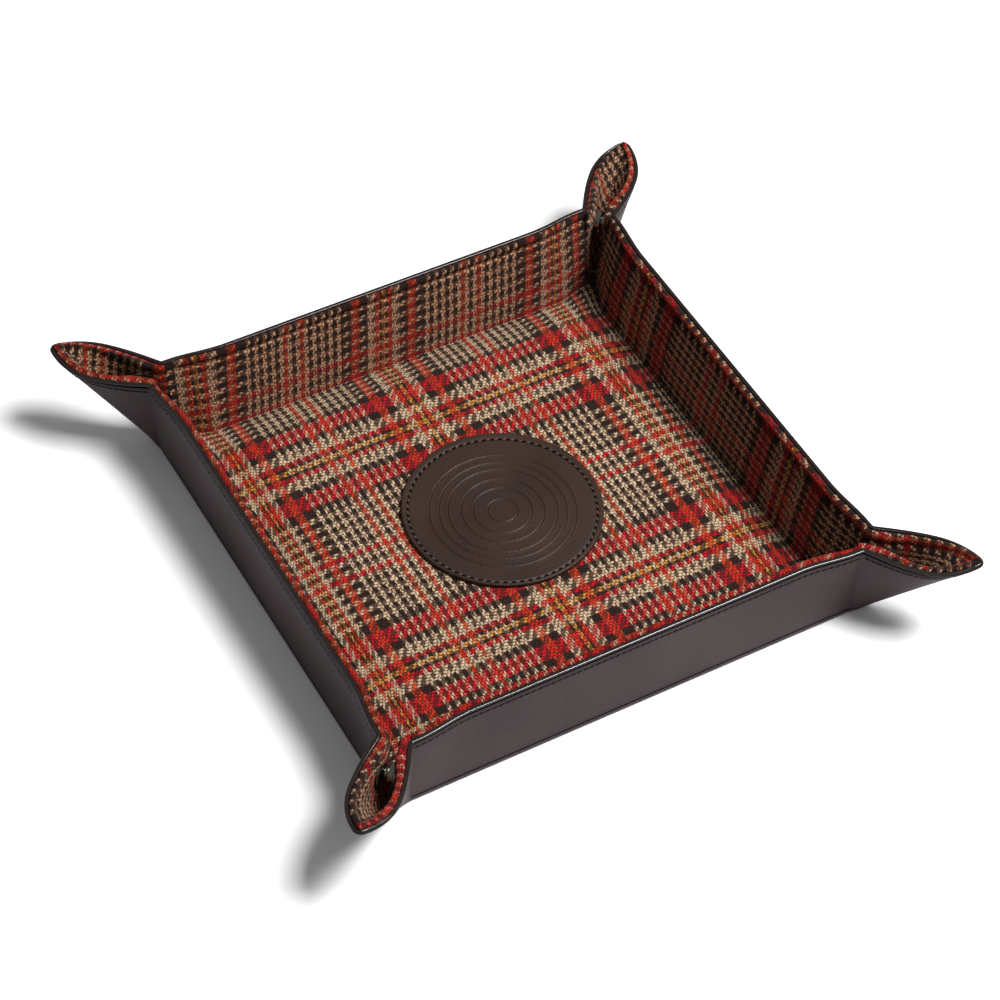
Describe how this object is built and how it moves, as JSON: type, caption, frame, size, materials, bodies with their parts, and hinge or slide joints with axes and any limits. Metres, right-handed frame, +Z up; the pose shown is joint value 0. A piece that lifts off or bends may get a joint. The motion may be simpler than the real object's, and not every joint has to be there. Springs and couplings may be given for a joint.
{
  "type": "valet tray",
  "caption": "Square leather valet tray with a check wool lining and a round sewn medallion; its pinched corner ears snap shut, or unsnap so that the walls fold flat.",
  "frame": {"origin": "middle of the flat underside", "axes": "+X along the front wall to the right, +Y to the back, +Z up"},
  "size_m": [0.254, 0.254, 0.0379],
  "materials": {
    "leather": "smooth fine-grained, satin",
    "tweed": "woven wool check in black, cream, red, orange and gold",
    "board": "grey stiffening board",
    "snap_metal": "polished nickel plate"
  },
  "bodies": {
    "base": {"base_leather": "leather", "base_board": "board", "base_lining": "tweed", "medallion": "leather"},
    "front_wall": {"front_wall_leather": "leather", "front_wall_board": "board", "front_wall_lining": "tweed"},
    "right_wall": {"right_wall_leather": "leather", "right_wall_board": "board", "right_wall_lining": "tweed"},
    "back_wall": {"back_wall_leather": "leather", "back_wall_board": "board", "back_wall_lining": "tweed"},
    "left_wall": {"left_wall_leather": "leather", "left_wall_board": "board", "left_wall_lining": "tweed"},
    "front_right_ear_front_inner": {"front_right_ear_front_inner_leather": "leather", "front_right_ear_front_inner_lining": "tweed", "front_right_stud": "snap_metal"},
    "front_right_ear_front_outer": {"front_right_ear_front_outer_leather": "leather", "front_right_ear_front_outer_lining": "tweed"},
    "front_right_ear_right_inner": {"front_right_ear_right_inner_leather": "leather", "front_right_ear_right_inner_lining": "tweed", "front_right_socket": "snap_metal"},
    "front_right_ear_right_outer": {"front_right_ear_right_outer_leather": "leather", "front_right_ear_right_outer_lining": "tweed"},
    "back_right_ear_right_inner": {"back_right_ear_right_inner_leather": "leather", "back_right_ear_right_inner_lining": "tweed", "back_right_stud": "snap_metal"},
    "back_right_ear_right_outer": {"back_right_ear_right_outer_leather": "leather", "back_right_ear_right_outer_lining": "tweed"},
    "back_right_ear_back_inner": {"back_right_ear_back_inner_leather": "leather", "back_right_ear_back_inner_lining": "tweed", "back_right_socket": "snap_metal"},
    "back_right_ear_back_outer": {"back_right_ear_back_outer_leather": "leather", "back_right_ear_back_outer_lining": "tweed"},
    "back_left_ear_back_inner": {"back_left_ear_back_inner_leather": "leather", "back_left_ear_back_inner_lining": "tweed", "back_left_stud": "snap_metal"},
    "back_left_ear_back_outer": {"back_left_ear_back_outer_leather": "leather", "back_left_ear_back_outer_lining": "tweed"},
    "back_left_ear_left_inner": {"back_left_ear_left_inner_leather": "leather", "back_left_ear_left_inner_lining": "tweed", "back_left_socket": "snap_metal"},
    "back_left_ear_left_outer": {"back_left_ear_left_outer_leather": "leather", "back_left_ear_left_outer_lining": "tweed"},
    "front_left_ear_left_inner": {"front_left_ear_left_inner_leather": "leather", "front_left_ear_left_inner_lining": "tweed", "front_left_stud": "snap_metal"},
    "front_left_ear_left_outer": {"front_left_ear_left_outer_leather": "leather", "front_left_ear_left_outer_lining": "tweed"},
    "front_left_ear_front_inner": {"front_left_ear_front_inner_leather": "leather", "front_left_ear_front_inner_lining": "tweed", "front_left_socket": "snap_metal"},
    "front_left_ear_front_outer": {"front_left_ear_front_outer_leather": "leather", "front_left_ear_front_outer_lining": "tweed"}
  },
  "joints": [
    {"name": "front_wall_fold", "type": "hinge", "parent": "base", "child": "front_wall", "pos_m": [0, -0.1, 0], "axis": [1, 0, 0], "range_deg": [0, 84]},
    {"name": "right_wall_fold", "type": "hinge", "parent": "base", "child": "right_wall", "pos_m": [0.1, 0, 0], "axis": [0, 1, 0], "range_deg": [0, 84]},
    {"name": "back_wall_fold", "type": "hinge", "parent": "base", "child": "back_wall", "pos_m": [0, 0.1, 0], "axis": [-1, 0, 0], "range_deg": [0, 84]},
    {"name": "left_wall_fold", "type": "hinge", "parent": "base", "child": "left_wall", "pos_m": [-0.1, 0, 0], "axis": [0, -1, 0], "range_deg": [0, 84]},
    {"name": "front_right_ear_front_crease", "type": "hinge", "parent": "front_wall", "child": "front_right_ear_front_inner", "pos_m": [0.093, -0.1, 0], "axis": [0, -0.0663, 0.9978], "range_deg": [0, 50.19]},
    {"name": "front_right_ear_front_bend", "type": "hinge", "parent": "front_right_ear_front_inner", "child": "front_right_ear_front_outer", "pos_m": [0.09485, -0.09814, 0], "axis": [-0.2851, 0.5077, -0.813], "range_deg": [0, 34.11]},
    {"name": "front_right_ear_right_crease", "type": "hinge", "parent": "right_wall", "child": "front_right_ear_right_inner", "pos_m": [0.1, -0.093, 0], "axis": [-0.0663, 0, -0.9978], "range_deg": [0, 50.19]},
    {"name": "front_right_ear_right_bend", "type": "hinge", "parent": "front_right_ear_right_inner", "child": "front_right_ear_right_outer", "pos_m": [0.09814, -0.09485, 0], "axis": [0.5077, -0.2851, 0.813], "range_deg": [0, 34.11]},
    {"name": "back_right_ear_right_crease", "type": "hinge", "parent": "right_wall", "child": "back_right_ear_right_inner", "pos_m": [0.1, 0.093, 0], "axis": [0.0663, 0, 0.9978], "range_deg": [0, 50.19]},
    {"name": "back_right_ear_right_bend", "type": "hinge", "parent": "back_right_ear_right_inner", "child": "back_right_ear_right_outer", "pos_m": [0.09814, 0.09485, 0], "axis": [-0.5077, -0.2851, -0.813], "range_deg": [0, 34.11]},
    {"name": "back_right_ear_back_crease", "type": "hinge", "parent": "back_wall", "child": "back_right_ear_back_inner", "pos_m": [0.093, 0.1, 0], "axis": [0, -0.0663, -0.9978], "range_deg": [0, 50.19]},
    {"name": "back_right_ear_back_bend", "type": "hinge", "parent": "back_right_ear_back_inner", "child": "back_right_ear_back_outer", "pos_m": [0.09485, 0.09814, 0], "axis": [0.2851, 0.5077, 0.813], "range_deg": [0, 34.11]},
    {"name": "back_left_ear_back_crease", "type": "hinge", "parent": "back_wall", "child": "back_left_ear_back_inner", "pos_m": [-0.093, 0.1, 0], "axis": [0, 0.0663, 0.9978], "range_deg": [0, 50.19]},
    {"name": "back_left_ear_back_bend", "type": "hinge", "parent": "back_left_ear_back_inner", "child": "back_left_ear_back_outer", "pos_m": [-0.09485, 0.09814, 0], "axis": [0.2851, -0.5077, -0.813], "range_deg": [0, 34.11]},
    {"name": "back_left_ear_left_crease", "type": "hinge", "parent": "left_wall", "child": "back_left_ear_left_inner", "pos_m": [-0.1, 0.093, 0], "axis": [0.0663, 0, -0.9978], "range_deg": [0, 50.19]},
    {"name": "back_left_ear_left_bend", "type": "hinge", "parent": "back_left_ear_left_inner", "child": "back_left_ear_left_outer", "pos_m": [-0.09814, 0.09485, 0], "axis": [-0.5077, 0.2851, 0.813], "range_deg": [0, 34.11]},
    {"name": "front_left_ear_left_crease", "type": "hinge", "parent": "left_wall", "child": "front_left_ear_left_inner", "pos_m": [-0.1, -0.093, 0], "axis": [-0.0663, 0, 0.9978], "range_deg": [0, 50.19]},
    {"name": "front_left_ear_left_bend", "type": "hinge", "parent": "front_left_ear_left_inner", "child": "front_left_ear_left_outer", "pos_m": [-0.09814, -0.09485, 0], "axis": [0.5077, 0.2851, -0.813], "range_deg": [0, 34.11]},
    {"name": "front_left_ear_front_crease", "type": "hinge", "parent": "front_wall", "child": "front_left_ear_front_inner", "pos_m": [-0.093, -0.1, 0], "axis": [0, 0.0663, -0.9978], "range_deg": [0, 50.19]},
    {"name": "front_left_ear_front_bend", "type": "hinge", "parent": "front_left_ear_front_inner", "child": "front_left_ear_front_outer", "pos_m": [-0.09485, -0.09814, 0], "axis": [-0.2851, -0.5077, 0.813], "range_deg": [0, 34.11]}
  ],
  "couplings": [
    {"joint": "right_wall_fold", "follows": "front_wall_fold", "ratio": 1},
    {"joint": "back_wall_fold", "follows": "front_wall_fold", "ratio": 1},
    {"joint": "left_wall_fold", "follows": "front_wall_fold", "ratio": 1},
    {"joint": "front_right_ear_front_crease", "follows": "front_wall_fold", "ratio": 0.5974},
    {"joint": "front_right_ear_front_bend", "follows": "front_wall_fold", "ratio": 0.406},
    {"joint": "front_right_ear_right_crease", "follows": "front_wall_fold", "ratio": 0.5974},
    {"joint": "front_right_ear_right_bend", "follows": "front_wall_fold", "ratio": 0.406},
    {"joint": "back_right_ear_right_crease", "follows": "front_wall_fold", "ratio": 0.5974},
    {"joint": "back_right_ear_right_bend", "follows": "front_wall_fold", "ratio": 0.406},
    {"joint": "back_right_ear_back_crease", "follows": "front_wall_fold", "ratio": 0.5974},
    {"joint": "back_right_ear_back_bend", "follows": "front_wall_fold", "ratio": 0.406},
    {"joint": "back_left_ear_back_crease", "follows": "front_wall_fold", "ratio": 0.5974},
    {"joint": "back_left_ear_back_bend", "follows": "front_wall_fold", "ratio": 0.406},
    {"joint": "back_left_ear_left_crease", "follows": "front_wall_fold", "ratio": 0.5974},
    {"joint": "back_left_ear_left_bend", "follows": "front_wall_fold", "ratio": 0.406},
    {"joint": "front_left_ear_left_crease", "follows": "front_wall_fold", "ratio": 0.5974},
    {"joint": "front_left_ear_left_bend", "follows": "front_wall_fold", "ratio": 0.406},
    {"joint": "front_left_ear_front_crease", "follows": "front_wall_fold", "ratio": 0.5974},
    {"joint": "front_left_ear_front_bend", "follows": "front_wall_fold", "ratio": 0.406}
  ]
}
